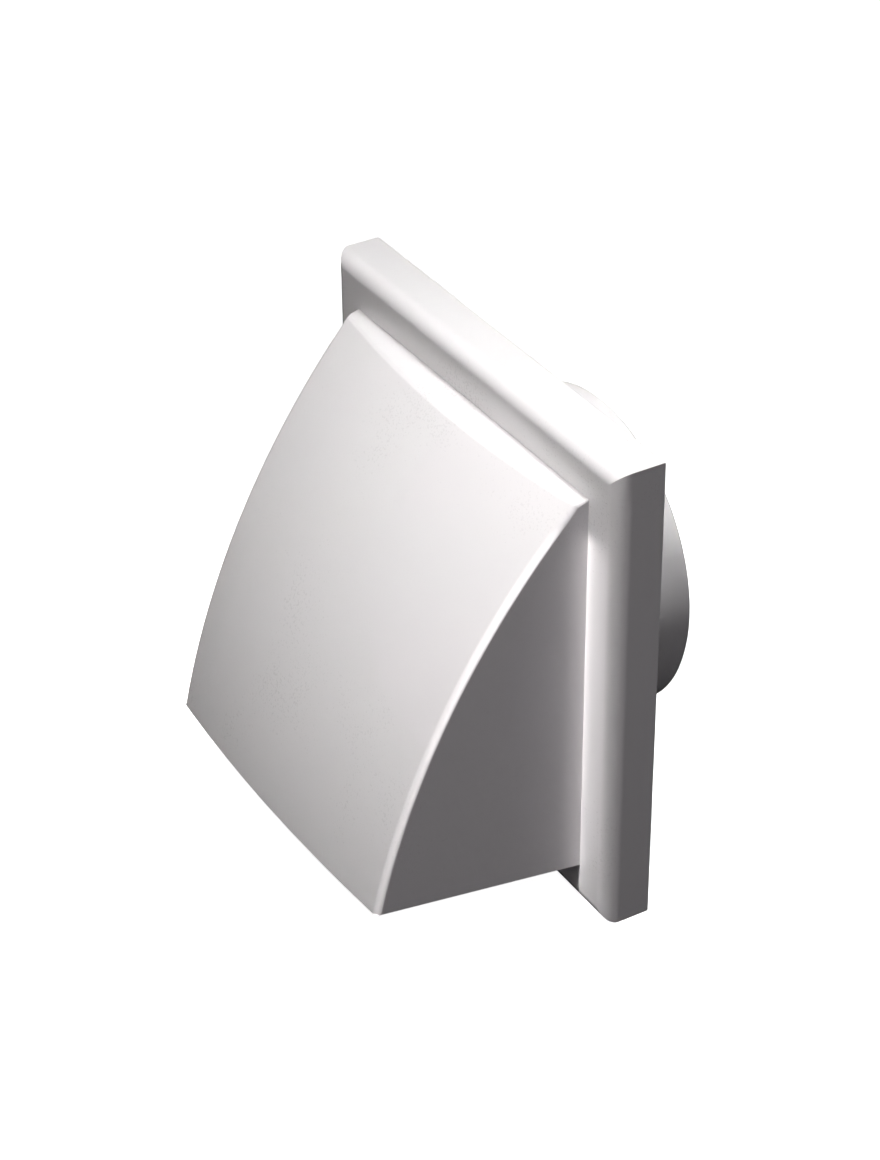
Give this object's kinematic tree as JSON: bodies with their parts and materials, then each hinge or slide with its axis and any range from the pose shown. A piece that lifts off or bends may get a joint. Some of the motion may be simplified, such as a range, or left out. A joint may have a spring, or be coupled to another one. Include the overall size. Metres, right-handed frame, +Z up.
{
  "type": "hooded ventilation grille",
  "caption": "Square wall vent outlet with a downward hood, a round duct spigot behind it and a hanging backdraft flap inside.",
  "frame": {"origin": "on the spigot's axis in the wall plane, which is the back of the rim and the centre of the wall screw pattern", "axes": "+X to the right seen from the front, +Y into the wall along the spigot, +Z up; the hood faces -Y"},
  "size_m": [0.154, 0.1152, 0.154],
  "materials": {
    "cover_plastic": "white moulded plastic, satin gloss",
    "base_plastic": "white moulded plastic, satin gloss",
    "flap_plastic": "thin white moulded plastic, matt"
  },
  "bodies": {
    "housing": {"cover": "cover_plastic", "spigot_base": "base_plastic"},
    "flap": {"backdraft_flap": "flap_plastic"}
  },
  "joints": [
    {"name": "flap_hinge", "type": "hinge", "parent": "housing", "child": "flap", "pos_m": [0, -0.006, 0.0534], "axis": [-1, 0, 0], "range_deg": [0, 39]}
  ]
}
